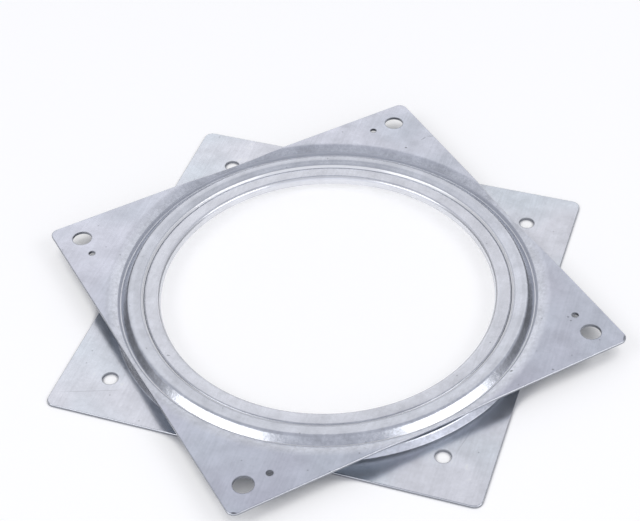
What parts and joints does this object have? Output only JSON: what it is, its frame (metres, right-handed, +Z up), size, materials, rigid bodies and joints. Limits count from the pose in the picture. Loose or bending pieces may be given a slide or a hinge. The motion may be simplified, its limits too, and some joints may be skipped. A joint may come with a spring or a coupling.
{
  "type": "lazy susan bearing",
  "caption": "Flat turntable bearing of pressed square steel plates that turn on balls in a ring race, with screw holes in the corners and a wide open centre.",
  "frame": {"origin": "on the base plate's mounting face, under the axis of the race", "axes": "+Z up the axis of the race, from base plate to upper plate; +X and +Y square to the base plate's sides"},
  "size_m": [0.213, 0.213, 0.0079],
  "materials": {
    "zinc_sheet": "galvanised sheet, satin, with pressing marks",
    "ball_steel": "ground and polished bearing steel"
  },
  "bodies": {
    "base": {"bottom_plate": "zinc_sheet"},
    "turntable": {"top_plate": "zinc_sheet"},
    "ball_ring": {"steel_balls": "ball_steel"}
  },
  "joints": [
    {"name": "turntable_spin", "type": "hinge", "parent": "base", "child": "turntable", "pos_m": [0, 0, 0.00397], "axis": [0, 0, 1], "continuous": true},
    {"name": "ball_orbit", "type": "hinge", "parent": "base", "child": "ball_ring", "pos_m": [0, 0, 0.00397], "axis": [0, 0, 1], "continuous": true}
  ],
  "couplings": [
    {"joint": "ball_orbit", "follows": "turntable_spin", "ratio": 0.5}
  ]
}
